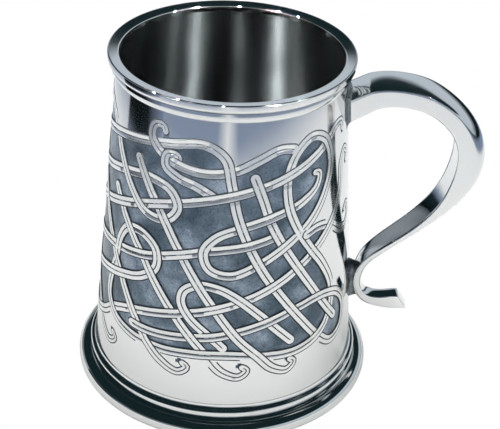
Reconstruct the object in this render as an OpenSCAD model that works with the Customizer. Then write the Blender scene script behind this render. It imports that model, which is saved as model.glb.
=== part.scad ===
// Pewter tankard: a one pint drinking mug of the traditional tapered kind, without a lid.
// The axis of the drum is Z, the tankard stands on z = 0 and the handle points along +X.
// All sizes are in millimetres.

/* [Overall] */
// Height from the table to the top of the lip
height = 120; // [100:1:150]
// Radius of the drum's outside at the table, before the foot covers it
drum_r_low = 46.4; // [38:0.1:56]
// Radius of the drum's outside at the height of the lip
drum_r_high = 37.3; // [31:0.1:45]

/* [Sheet and floor] */
// Thickness of the rolled drum sheet
sheet = 1.0; // [0.7:0.1:2]
// Width of the soldered side seam
seam_w = 0.6; // [0.4:0.1:1.5]
// Height of the drum's lower edge above the table
drum_z_low = 4.0; // [3:0.1:6]
// Thickness of the floor disc
floor_t = 1.5; // [1:0.1:3]
// Height of the underside of the floor above the table
floor_z = 8.0; // [6:0.5:20]
// Leg of the solder fillet around the floor
floor_fillet = 1.2; // [0.6:0.1:2.5]

/* [Rim] */
// How far the lip bead stands out from the drum
bead_out = 2.9; // [1.5:0.1:5]
// Radius of the lip bead
bead_r = 1.55; // [1:0.05:2.5]
// Height of the whole rim moulding
rim_h = 6.8; // [5:0.1:12]
// How far the lower band of the rim stands out from the drum
rim_band_out = 1.7; // [0.8:0.1:3]

/* [Foot] */
// Height of the foot moulding
foot_h = 10.6; // [9.5:0.1:16]
// How far the standing ring reaches out from the drum's radius at the table
foot_out = 5.4; // [4:0.1:9]
// Height of the rounded standing ring
foot_ring_h = 5.6; // [4.5:0.1:7]
// How far the stepped band above the ring stands out from the drum's radius at the table
foot_band_out = 1.2; // [0.8:0.1:2.4]
// Width of the flat that touches the table
foot_flat = 2.2; // [1:0.1:4]
// Wall of the foot under the drum's edge
foot_wall = 1.4; // [1:0.1:1.8]

/* [Handle] */
// Clearance of the top of the handle's bow below the rim moulding
bow_gap = 1.2; // [0.7:0.1:5]
// Clearance of the handle's tail above the foot moulding
tail_gap = 12.7; // [8:0.1:20]
// How far the handle reaches out from the drum's radius at the lip
handle_reach = 48.0; // [40:0.5:60]
// Width of the handle where it joins the drum
handle_w = 14.4; // [10:0.1:18]
// Wall of the hollow casting
handle_wall = 1.6; // [1.2:0.1:2]
// Size of the solder fillet around the handle's root
root_fillet = 1.3; // [0.6:0.1:2.2]
// Width of the solder pad behind the lower end of the handle
pad_w = 5.6; // [3:0.1:6.4]

/* [Hidden] */

$fn = 128;

// Radius of the drum's outside at height z
function drum_r(z) = drum_r_low + (drum_r_high - drum_r_low) * z / height;
// Radius of the drum's inside at height z
function bore_r(z) = drum_r(z) - sheet;
// Points on an ellipse around c with half axes a, from angle f to angle t in n steps
function arc(c, a, f, t, n) = [for (i = [0:n])
    let (angle = f + (t - f) * i / n)
    c + [a[0] * cos(angle), a[1] * sin(angle)]];

// Thin edge that each moulding keeps where it meets the drum
edge = 0.1;
// How far a cutting body runs past what it cuts
over = 1;

// Lip and rim: the round inside the lip starts a step above the drum's edge and is so many bead radii high
lip_step = 0.2;
lip_round = 1.4;
// Angles between which the bead shows its round
bead_from = 78;
bead_to = -60;
lip_edge = bead_r * lip_round;
drum_z_high = height - lip_edge - lip_step;
bead_z = height - bead_r;
bead_x = drum_r(bead_z) + bead_out - bead_r;
rim_z_low = height - rim_h;
band_z_high = bead_z - bead_r;
band_z_mid = (rim_z_low + band_z_high) / 2;
band_round = 0.5;
band_back = 0.8;

// Foot
ring_x = drum_r_low + foot_out;
band_x = drum_r_low + foot_band_out;
// Height of the ring's widest place, as a share of the ring's height
ring_widest = 0.43;
ring_mid_z = foot_ring_h * ring_widest;
// Half axes of the cove at the top of the foot and of the shoulder under it
cove_r = [0.85, 1.5];
shoulder_r = [0.9, 1.1];
// Groove between the band and the ring, and how far outside the band the ring's round starts
groove = 0.3;
ring_start = 0.9;
ring_under = 1.2;

// Handle: the bow was drawn beside a drum of these sizes, and is carried from it to the drum above
drawn_r_low = 46.4;
drawn_r_high = 37.3;
drawn_height = 120;
drawn_top = 112.0;
drawn_low = 23.3;
drawn_w = 14.4;
// Stations along the middle of the bow: x, z, depth, width, height of the domed back
bow = [
    [31.5, 97.0, 9.6, 14.4, 0.5],
    [38.0, 102.3, 8.4, 14.4, 0.5],
    [44.0, 106.7, 7.6, 14.4, 0.5],
    [50.6, 108.7, 6.8, 14.5, 0.5],
    [57.6, 108.6, 6.5, 14.7, 0.6],
    [64.6, 107.0, 6.5, 14.9, 0.9],
    [70.8, 103.5, 7.0, 15.0, 1.6],
    [75.8, 98.8, 7.9, 15.0, 2.6],
    [79.3, 92.7, 9.0, 14.8, 3.6],
    [80.5, 86.0, 9.7, 14.5, 4.3],
    [79.4, 78.6, 9.2, 14.2, 4.3],
    [75.6, 70.4, 6.9, 13.7, 3.6],
    [68.9, 61.9, 4.4, 13.0, 2.7],
    [61.0, 54.5, 3.3, 12.1, 2.1],
    [53.6, 47.9, 3.2, 10.8, 1.9],
    [48.7, 42.1, 3.1, 9.0, 1.6],
    [46.9, 36.4, 2.9, 7.6, 1.1],
    [47.3, 31.4, 2.9, 6.7, 0.7],
    [50.2, 27.5, 3.4, 6.0, 0.5],
    [55.0, 26.0, 4.2, 5.7, 0.4],
    [60.4, 26.1, 5.6, 5.6, 0.4],
    [66.6, 26.6, 6.6, 5.6, 0.4]
];
// Places along the bow, counted in stations: where it leaves the drum, where its hollow and its tail end,
// and the stretch of its lower end that the pad backs
root_at = 1.8;
core_end = 10.5;
tail_at = 20;
pad_from = 15.5;
pad_to = 17.5;
pad_flare = 0.6;
bow_steps = 4;
// Station where the bow reaches furthest out
widest_at = 9;
// Cut across the end of the tail: a point on it and the direction that it faces
tail_cut = [63.3, 26.3];
tail_face = [0.82, 0.57];
corner = 0.9;
dome_steps = 8;
flat_steps = 5;
// Height of the crown across the bow's inner side
crown = 0.15;
// Middle of the hollow face of the root's fillet, in legs of the fillet
fillet_hollow = [0.3, 0.35];
// Step along the bow over which its heading is taken
nudge = 0.02;

// A station of the bow, its height carried between the rim and the foot and its place kept beside the drum
bow_top = rim_z_low - bow_gap;
bow_low = foot_h + tail_gap;
function fit_z(z) = bow_top + (z - drawn_top) * (bow_top - bow_low) / (drawn_top - drawn_low);
function drawn_r(z) = drawn_r_low + (drawn_r_high - drawn_r_low) * z / drawn_height;
function off_drum(s) = s[0] - drawn_r(s[1]);
widest = bow[widest_at];
widest_x = drum_r_high + handle_reach - widest[2] / 2;
reach_scale = (widest_x - drum_r(fit_z(widest[1]))) / off_drum(widest);
function fit_x(s) = drum_r(fit_z(s[1])) + off_drum(s) * reach_scale;
function fit(s) = [fit_x(s), fit_z(s[1]), s[2], s[3] * handle_w / drawn_w, s[4]];
stations = [for (s = bow) fit(s)];

// Smooth curve through four neighbouring stations
function blend(a, b, c, d, t) =
    b + (c - a) * t / 2 + (2 * a - 5 * b + 4 * c - d) * t * t / 2 + (3 * b - a - 3 * c + d) * t * t * t / 2;
function station(i) = stations[max(0, min(len(stations) - 1, i))];
function along(u) =
    let (i = min(floor(u), len(stations) - 2))
    blend(station(i - 1), station(i), station(i + 1), station(i + 2), u - i);
function heading(u) =
    let (d = along(u + nudge) - along(u - nudge))
    [d[0], 0, d[1]] / norm([d[0], d[1]]);

// Outline of the handle's section, its inner side barely crowned and its back domed, as [across, out] pairs.
// grow is added all round: negative for the hollow core, positive for the solder at the root.
function section(s, grow) =
    let (a = s[3] / 2 + grow, d = s[2] / 2 + grow, h = s[4], c = corner)
    concat(
        [for (i = [0:flat_steps]) let (x = 2 * i / flat_steps - 1) [(a - c) * x, -d + crown * x * x]],
        [[a, -d + c]],
        [for (i = [0:dome_steps]) [a * cos(180 * i / dome_steps), d - h + h * sin(180 * i / dome_steps)]],
        [[-a, -d + c]]);

// The section at u along the bow as points in space
function ring(u, grow = 0) =
    let (s = along(u), t = heading(u))
    [for (p = section(s, grow)) [s[0] - t[2] * p[1], p[0], s[1] + t[0] * p[1]]];

// Slides the point p along t until it stands on the drum's cone, made wider by add
function onto_drum(p, t, add, tries = 6) =
    let (drum_x = sqrt(pow(drum_r(p[2]) + add, 2) - p[1] * p[1]))
    tries == 0 ? p : onto_drum(p + t * (drum_x - p[0]) / t[0], t, add, tries - 1);
function root_ring(grow, add) = [for (p = ring(root_at, grow)) onto_drum(p, heading(root_at), add)];

// The last section, slid along the tail onto the slanted cut
function tail_ring() =
    let (t = heading(tail_at), n = [tail_face[0], 0, tail_face[1]])
    let (c = [fit_x(tail_cut), 0, fit_z(tail_cut[1])])
    [for (p = ring(tail_at)) p + t * ((c - p) * n) / (t * n)];

// Skins a row of like outlines: capped at both ends, or closed into a ring
module loft(rings, closed = false) {
    count = len(rings[0]);
    total = len(rings);
    steps = closed ? total : total - 1;
    points = [for (r = rings) each r];
    sides = [for (j = [0:steps - 1]) for (i = [0:count - 1])
        let (k = (i + 1) % count, a = j * count, b = ((j + 1) % total) * count)
        each [[a + i, a + k, b + k], [a + i, b + k, b + i]]];
    caps = closed ? [] : [[for (i = [count - 1:-1:0]) i], [for (i = [0:count - 1]) (total - 1) * count + i]];
    polyhedron(points, concat(sides, caps), convexity = 6);
}

// Cone that fills the drum's outside between two heights
module drum_cone(z_low, z_high, add = 0) {
    translate([0, 0, z_low])
        cylinder(h = z_high - z_low, r1 = drum_r(z_low) + add, r2 = drum_r(z_high) + add);
}

// The inside of the drum, past both of its ends
module drum_bore() {
    z_low = drum_z_low - over;
    z_high = drum_z_high + over;
    translate([0, 0, z_low])
        cylinder(h = z_high - z_low, r1 = bore_r(z_low), r2 = bore_r(z_high));
}

// The slot that the seam fills, on the side of the handle
module seam_slot() {
    translate([0, -seam_w / 2, 0])
        cube([max(drum_r_low, drum_r_high) + over, seam_w, height]);
}

// Rolled sheet wall of the drum, open along the seam behind the handle
module drum() {
    color("#C9CDD2")
    difference() {
        drum_cone(drum_z_low, drum_z_high);
        drum_bore();
        seam_slot();
    }
}

// Strip of solder that closes the drum's seam
module side_seam() {
    color("#A9AEB4")
    intersection() {
        difference() {
            drum_cone(drum_z_low, drum_z_high);
            drum_bore();
        }
        seam_slot();
    }
}

// Disc soldered into the drum as its floor
module floor_disc() {
    color("#8E949B")
    translate([0, 0, floor_z])
        cylinder(h = floor_t, r1 = bore_r(floor_z), r2 = bore_r(floor_z + floor_t));
}

// Solder fillet in the corner between the floor and the drum
module floor_solder() {
    z = floor_z + floor_t;
    z_high = z + floor_fillet;
    color("#A9AEB4")
    rotate_extrude()
        polygon([[bore_r(z) - floor_fillet, z], [bore_r(z), z], [bore_r(z_high), z_high]]);
}

// Turned ring at the mouth: a round bead over the drum's edge and a lower band against its outside
module rim_moulding() {
    color("#C9CDD2")
    rotate_extrude()
        polygon(concat(
            [[drum_r(rim_z_low), rim_z_low]],
            [[drum_r(drum_z_high), drum_z_high]],
            [[bore_r(drum_z_high), drum_z_high]],
            arc([bead_x, height - lip_edge], [bead_x - bore_r(drum_z_high), lip_edge], 180, 90, 8),
            arc([bead_x, bead_z], [bead_r, bead_r], bead_from, bead_to, 12),
            [[drum_r(band_z_high) + rim_band_out, band_z_high]],
            arc([drum_r(band_z_mid) + rim_band_out - band_round, band_z_mid + band_round],
                [band_round, band_round], 0, -90, 4),
            arc([drum_r(rim_z_low) + edge, band_z_mid],
                [rim_band_out - band_back - edge, band_z_mid - rim_z_low], 0, -90, 6)));
}

// Spun foot: a cove and a stepped band around the drum over a rounded standing ring
module foot_moulding() {
    color("#C9CDD2")
    rotate_extrude()
        polygon(concat(
            [[drum_r(foot_h), foot_h]],
            arc([drum_r(foot_h) + cove_r[0] + edge, foot_h], cove_r, 180, 270, 6),
            arc([band_x - shoulder_r[0], foot_h - cove_r[1] - shoulder_r[1]], shoulder_r, 90, 0, 6),
            [[band_x, foot_ring_h]],
            [[band_x + groove, foot_ring_h - groove]],
            arc([band_x + ring_start, ring_mid_z],
                [ring_x - band_x - ring_start, foot_ring_h - ring_mid_z], 90, 0, 10),
            arc([ring_x - ring_under, ring_mid_z], [ring_under, ring_mid_z], 0, -90, 6),
            [[ring_x - ring_under - foot_flat, 0]],
            [[bore_r(drum_z_low), drum_z_low - foot_wall]],
            [[bore_r(drum_z_low), drum_z_low]],
            [[drum_r(drum_z_low), drum_z_low]]));
}

// Cast handle: skinned from the cut tail up to the drum, and back inside as the hollow, open at the root
module handle() {
    first = ceil(root_at * bow_steps + 0.5);
    color("#C9CDD2")
    loft(concat(
        [tail_ring()],
        [for (j = [tail_at * bow_steps:-1:first]) ring(j / bow_steps)],
        [root_ring(0, 0)],
        [root_ring(-handle_wall, 0)],
        [for (j = [first:core_end * bow_steps]) ring(j / bow_steps, -handle_wall)]));
}

// Solder fillet around the handle's root
module upper_joint_solder() {
    color("#A9AEB4")
    loft([
        root_ring(0, 0),
        root_ring(0, root_fillet),
        root_ring(root_fillet * fillet_hollow[0], root_fillet * fillet_hollow[1]),
        root_ring(root_fillet, 0)
    ], closed = true);
}

// Inner side of the bow at u, as an [x, z] point
function inner_side(u) =
    let (s = along(u), t = heading(u))
    [s[0] + t[2] * s[2] / 2, s[1] - t[0] * s[2] / 2];

// Solder pad that fills the gap between the drum and the lower end of the handle
module lower_joint_pad() {
    face = [for (j = [pad_from * bow_steps:pad_to * bow_steps]) inner_side(j / bow_steps)];
    top = face[0][1];
    low = face[len(face) - 1][1];
    color("#A9AEB4")
    difference() {
        rotate([90, 0, 0])
            linear_extrude(height = pad_w, center = true)
                polygon(concat(face, [[bore_r(low), low + pad_flare], [bore_r(top), top + pad_flare]]));
        drum_cone(0, height);
    }
}

drum();
side_seam();
floor_disc();
floor_solder();
rim_moulding();
foot_moulding();
handle();
upper_joint_solder();
lower_joint_pad();
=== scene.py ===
"""A one pint pewter tankard with an interlace panel around its drum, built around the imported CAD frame."""

import math
from itertools import combinations

import bmesh
import bpy
import numpy as np
from bpy.props import FloatProperty, FloatVectorProperty, IntProperty, PointerProperty
from bpy.types import NodeSocket, Operator, Panel, PropertyGroup
from mathutils import Euler, Matrix, Vector


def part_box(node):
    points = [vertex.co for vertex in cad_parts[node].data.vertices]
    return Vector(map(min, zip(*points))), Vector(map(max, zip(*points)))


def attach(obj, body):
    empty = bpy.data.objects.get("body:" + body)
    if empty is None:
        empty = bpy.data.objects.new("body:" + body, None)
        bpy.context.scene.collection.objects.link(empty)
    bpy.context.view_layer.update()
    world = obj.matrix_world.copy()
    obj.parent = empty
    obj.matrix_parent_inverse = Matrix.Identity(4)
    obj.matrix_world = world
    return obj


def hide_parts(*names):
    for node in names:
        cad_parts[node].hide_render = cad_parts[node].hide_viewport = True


bl_info = {
    "name": "Pewter Tankard",
    "version": (1, 0, 0),
    "blender": (4, 5, 0),
    "location": "3D View > Sidebar > Tankard",
    "description": "Builds a pewter tankard with a cast scroll handle and a band of interlace",
    "category": "Add Mesh",
}

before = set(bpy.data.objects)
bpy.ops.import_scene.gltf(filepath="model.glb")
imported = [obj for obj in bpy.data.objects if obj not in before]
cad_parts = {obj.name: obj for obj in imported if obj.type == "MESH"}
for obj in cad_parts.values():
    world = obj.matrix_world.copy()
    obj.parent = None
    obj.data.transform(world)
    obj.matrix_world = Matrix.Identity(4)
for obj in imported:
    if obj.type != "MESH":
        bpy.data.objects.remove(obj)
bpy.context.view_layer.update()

MM = 0.001
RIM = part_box("rim_moulding")
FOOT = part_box("foot_moulding")
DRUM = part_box("drum")
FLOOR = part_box("floor_disc")
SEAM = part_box("side_seam")
# Faces that meet at more than this many degrees keep a sharp edge between them
CREASE = 35


# ---------------------------------------------------------------- sizes and colours


def length(name, description, millimetres):
    """A length of the tankard as a property."""
    return FloatProperty(name=name, description=description, default=millimetres * MM, unit="LENGTH")


def colour(name, description, value):
    """A colour of the tankard as a property."""
    return FloatVectorProperty(name=name, description=description, default=value, subtype="COLOR")


class TankardSizes(PropertyGroup):
    """Sizes of the tankard"""

    drum_r_high: length(
        "Drum radius at the lip", "Radius of the drum's outside at the height of the lip", 37.3
    )
    sheet: length("Sheet", "Thickness of the rolled drum sheet", 1.0)
    bead_r: length("Lip bead", "Radius of the lip bead", 1.55)
    rim_band_out: length("Rim band", "How far the lower band of the rim stands out from the drum", 1.7)
    foot_ring_h: length("Standing ring", "Height of the rounded standing ring", 5.6)
    foot_band_out: length(
        "Foot band", "How far the stepped band stands out from the drum's radius at the table", 1.2
    )
    root_fillet: length("Root fillet", "Size of the solder fillet around the handle's root", 1.3)
    pad_w: length("Solder pad", "Width of the solder pad behind the lower end of the handle", 5.6)
    strand_w: length("Strand width", "Width of an interlace strand between its dark outlines", 3.1)
    strand_line: length("Strand outline", "Width of the dark line beside each strand", 0.36)
    strand_relief: length("Relief", "How far a strand stands above the plain metal", 0.1)
    ground_depth: length("Ground depth", "How far the patinated ground lies below the plain metal", 0.2)
    grid: length("Drum grid", "Size of the faces of the drum's decorated wall", 0.6)
    turned_steps: IntProperty(name="Turned steps", description="Faces around each turned piece", default=288)


class TankardColours(PropertyGroup):
    """Colours of the finishes, as linear values"""

    pewter: colour("Pewter", "Freshly polished pewter", (0.78, 0.785, 0.775))
    # Much darker than the polished pewter: painted shade for the inside of the drum and its floor
    bore: colour("Bore", "Satin pewter inside the drum", (0.14, 0.156, 0.158))
    solder: colour("Solder", "Tin solder left as it ran", (0.24, 0.27, 0.29))


# ---------------------------------------------------------------- meshes


def grid_faces(rows, cols, wrap_rows=False, wrap_cols=False):
    """Quads between neighbouring rows of points."""
    i, j = np.meshgrid(
        np.arange(rows if wrap_rows else rows - 1), np.arange(cols if wrap_cols else cols - 1), indexing="ij"
    )
    i_next, j_next = (i + 1) % rows, (j + 1) % cols
    corners = [i * cols + j, i * cols + j_next, i_next * cols + j_next, i_next * cols + j]
    return np.stack(corners, -1).reshape(-1, 4)


def end_caps(rows, cols):
    """The two faces that close a tube of that many rings."""
    return [list(range(cols)), list(range((rows - 1) * cols, rows * cols))]


def add_object(name, data):
    """Adds an object to the scene."""
    made = bpy.data.objects.new(name, data)
    bpy.context.collection.objects.link(made)
    return made


def make_piece(name, points, faces, materials, slots=None):
    """A closed, smooth-shaded mesh with outward normals, sharp only where it turns by more than CREASE."""
    mesh = bpy.data.meshes.new(name)
    mesh.from_pydata(np.asarray(points, float).reshape(-1, 3).tolist(), [], faces)
    for material in materials:
        mesh.materials.append(material)
    if slots is not None:
        mesh.polygons.foreach_set("material_index", np.asarray(slots, np.int32))
    shape = bmesh.new()
    shape.from_mesh(mesh)
    bmesh.ops.remove_doubles(shape, verts=shape.verts, dist=0.0005 * MM)
    bmesh.ops.delete(shape, geom=[e for e in shape.edges if not e.link_faces], context="EDGES")
    bmesh.ops.recalc_face_normals(shape, faces=shape.faces)
    shape.to_mesh(mesh)
    shape.free()
    mesh.shade_smooth()
    mesh.set_sharp_from_angle(angle=math.radians(CREASE))
    return add_object(name, mesh)


def place(piece, slot, *nodes):
    """Fixes a finished piece to the tankard and hides the CAD nodes that it stands for. Its slot argument is
    not used.
    """
    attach(piece, "root")
    if nodes:
        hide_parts(*nodes)


def arc(centre, radii, start, end, steps):
    """Points on an ellipse, by angles in degrees."""
    angle = np.radians(np.linspace(start, end, steps + 1))
    return [(centre[0] + radii[0] * math.cos(a), centre[1] + radii[1] * math.sin(a)) for a in angle]


def turned(name, profile, materials, sizes):
    """Turns a closed outline of (radius, height) points, in millimetres, around the drum's axis."""
    outline = np.array(profile) * MM
    angle = np.linspace(0, 2 * math.pi, sizes.turned_steps, endpoint=False)
    r, z = outline[:, None, 0], outline[:, None, 1]
    points = np.stack([r * np.cos(angle), r * np.sin(angle), z + 0 * angle], -1)
    return make_piece(name, points, grid_faces(len(outline), len(angle), True, True).tolist(), materials)


def drum_radius(z, sizes):
    """Radius of the drum's outside at height z."""
    share = (z - DRUM[0].z) / (RIM[1].z - DRUM[0].z)
    return DRUM[1].x + (sizes.drum_r_high - DRUM[1].x) * share


def bore_radius(z, sizes):
    """Radius of the drum's inside at height z."""
    return drum_radius(z, sizes) - sizes.sheet


def drum_mm(z, sizes):
    """Radius of the drum's outside at height z, both in millimetres."""
    return drum_radius(z * MM, sizes) / MM


def bore_mm(z, sizes):
    """Radius of the drum's inside at height z, both in millimetres."""
    return bore_radius(z * MM, sizes) / MM


# ---------------------------------------------------------------- materials


def linear(hex_colour):
    """An sRGB hex colour as linear red, green, blue and alpha."""
    parts = [int(hex_colour[i : i + 2], 16) / 255 for i in (1, 3, 5)]
    return [c / 12.92 if c <= 0.04045 else ((c + 0.055) / 1.055) ** 2.4 for c in parts] + [1]


def add_node(tree, kind, inputs=None, **settings):
    """Adds a shader node with its settings. An input is a value, or the socket that feeds it."""
    made = tree.nodes.new("ShaderNode" + kind)
    for key, value in settings.items():
        setattr(made, key, value)
    for key, value in (inputs or {}).items():
        if isinstance(value, NodeSocket):
            tree.links.new(value, made.inputs[key])
        else:
            made.inputs[key].default_value = value
    return made


def start_material(name, values):
    """A new material: its node tree and its Principled shader, with uniform values set."""
    material = bpy.data.materials.new(name)
    material.use_nodes = True
    shader = material.node_tree.nodes["Principled BSDF"]
    for key, value in values.items():
        shader.inputs[key].default_value = value
    return material, material.node_tree, shader


def feed(tree, node, inputs):
    """Links sockets into a node's inputs."""
    for key, socket in inputs.items():
        tree.links.new(socket, node.inputs[key])


def stretched(tree, *size_mm):
    """Object coordinates in which a pattern has that size in millimetres, the same or one along each axis."""
    scale = tuple(1 / (size * MM) for size in (size_mm if len(size_mm) == 3 else size_mm * 3))
    spot = add_node(tree, "TexCoord").outputs["Object"]
    return add_node(tree, "Mapping", {"Vector": spot, "Scale": scale}).outputs["Vector"]


def noise(tree, vector, detail=2.0, rough=0.5):
    """Noise over a vector that is already scaled."""
    inputs = {"Vector": vector, "Scale": 1.0, "Detail": detail, "Roughness": rough}
    return add_node(tree, "TexNoise", inputs).outputs["Fac"]


def remap(tree, value, low, high, to_low=0, to_high=1):
    """A value carried from one range to another."""
    inputs = {"Value": value, "From Min": low, "From Max": high, "To Min": to_low, "To Max": to_high}
    return add_node(tree, "MapRange", inputs).outputs["Result"]


def mix(tree, share, first, second, blend="MIX"):
    """A share of the way from the first colour to the second."""
    inputs = {0: share, 6: first, 7: second}
    return add_node(tree, "Mix", inputs, data_type="RGBA", blend_type=blend).outputs[2]


def combine(tree, operation, one, two):
    """Two values put together by a math operation."""
    return add_node(tree, "Math", {0: one, 1: two}, operation=operation).outputs[0]


def bumped(tree, height, depth_mm, after=None):
    """A bump of that depth in millimetres, over an earlier one if given."""
    inputs = {"Height": height, "Distance": depth_mm * MM, "Strength": 1.0}
    if after is not None:
        inputs["Normal"] = after
    return add_node(tree, "Bump", inputs).outputs["Normal"]


def polished_pewter(name, wave_mm, depth_mm, dull=0.0):
    """Pewter buffed on a mop: near mirror bright, with a slow waviness and a haze of fine wiping marks."""
    colour = [*bpy.context.scene.tankard_colours.pewter, 1]
    material, tree, shader = start_material(name, {"Metallic": 1.0, "Base Color": colour})
    haze = noise(tree, stretched(tree, 9, 9, 14), 3.0)
    wipes = noise(tree, stretched(tree, 0.5, 0.5, 7), 2.0)
    waves = noise(tree, stretched(tree, wave_mm), 1.0)
    rough = remap(tree, haze, 0.3, 0.7, 0.055 + dull, 0.11 + dull)
    normal = bumped(tree, wipes, 0.0006, bumped(tree, waves, depth_mm))
    feed(tree, shader, {"Roughness": rough, "Normal": normal})
    return material


def lathe_satin_pewter():
    """Pewter left from the lathe and scoured: its fine rings draw light out into upright streaks. Its dark
    colour is painted shade for the inside of the tankard.
    """
    # The bore colour is painted shade for the inside of the tankard
    bore = np.array(bpy.context.scene.tankard_colours.bore)
    values = {"Metallic": 1.0, "Anisotropic": 1.0, "Anisotropic Rotation": 0.25}
    material, tree, shader = start_material("lathe_satin_pewter", values)
    rings = noise(tree, stretched(tree, 60, 60, 0.35), 3.0, 0.6)
    cloud = noise(tree, stretched(tree, 12, 12, 20), 2.0)
    inputs = {
        "Roughness": remap(tree, cloud, 0.3, 0.7, 0.17, 0.22),
        "Base Color": mix(tree, rings, [*(0.8 * bore), 1], [*bore, 1]),
        "Tangent": add_node(tree, "Tangent", direction_type="RADIAL", axis="Z").outputs["Tangent"],
        "Normal": bumped(tree, rings, 0.0035),
    }
    feed(tree, shader, inputs)
    return material


def patinated_ground():
    """Pewter darkened with acid behind the interlace: slate grey, mottled, faintly pitted and half dull."""
    material, tree, shader = start_material("patinated_ground", {"Metallic": 1.0})
    blotch = noise(tree, stretched(tree, 11), 4.0, 0.55)
    speck = noise(tree, stretched(tree, 0.7), 3.0, 0.7)
    ramp = add_node(tree, "ValToRGB", {"Fac": blotch})
    stops = ramp.color_ramp.elements
    stops.new(0.72)
    for stop, (at, colour) in zip(stops, ((0.36, "#505E69"), (0.54, "#707E8B"), (0.72, "#A9B5C3"))):
        stop.position = at
        stop.color = linear(colour)
    spots = remap(tree, speck, 0.34, 0.48, 0.55, 1.0)
    inputs = {
        "Base Color": mix(tree, 1.0, ramp.outputs["Color"], spots, "MULTIPLY"),
        "Roughness": remap(tree, speck, 0.3, 0.7, 0.38, 0.26),
        "Normal": bumped(tree, speck, 0.012),
    }
    feed(tree, shader, inputs)
    return material


def patina_and_shade_line():
    """The cut beside and along each strand, filled with dark patina that wiping never reaches, and painted
    shade where the strand's edge meets the sunk ground.
    """
    material, tree, shader = start_material("patina_and_shade_line", {"Metallic": 0.4, "Roughness": 0.6})
    grain = noise(tree, stretched(tree, 1.5), 2.0)
    # Dark colour: patina in the cuts, and painted shade along the strand's edge beside the ground
    feed(tree, shader, {"Base Color": mix(tree, grain, linear("#1D252A"), linear("#36424A"))})
    return material


def run_solder():
    """Tin solder as it set: greyer than the polished metal, lumpy, with dull and bright patches."""
    solder = np.array(bpy.context.scene.tankard_colours.solder)
    material, tree, shader = start_material("run_solder", {"Metallic": 1.0})
    lumps = noise(tree, stretched(tree, 1.6), 3.0, 0.6)
    inputs = {
        "Base Color": mix(tree, lumps, [*(0.35 * solder), 1], [*solder, 1]),
        "Roughness": remap(tree, lumps, 0.3, 0.7, 0.45, 0.2),
        "Normal": bumped(tree, lumps, 0.03),
    }
    feed(tree, shader, inputs)
    return material


# The polished finishes: length and depth of their waves in millimetres, and what is added to their roughness
POLISHES = {
    "drum_polish": (16, 0.012, 0.0),
    "turned_polish": (14, 0.008, 0.0),
    "cast_polish": (9, 0.03, 0.0),
    "strand_polish": (6, 0.006, 0.16),
}
OTHER_FINISHES = [lathe_satin_pewter, patinated_ground, patina_and_shade_line, run_solder]


def finish(name):
    """The material of that name, made the first time it is asked for."""
    made = bpy.data.materials.get(name)
    if made is None and name in POLISHES:
        made = polished_pewter(name, *POLISHES[name])
    return made or next(build for build in OTHER_FINISHES if build.__name__ == name)()


# ---------------------------------------------------------------- interlace layout

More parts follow.
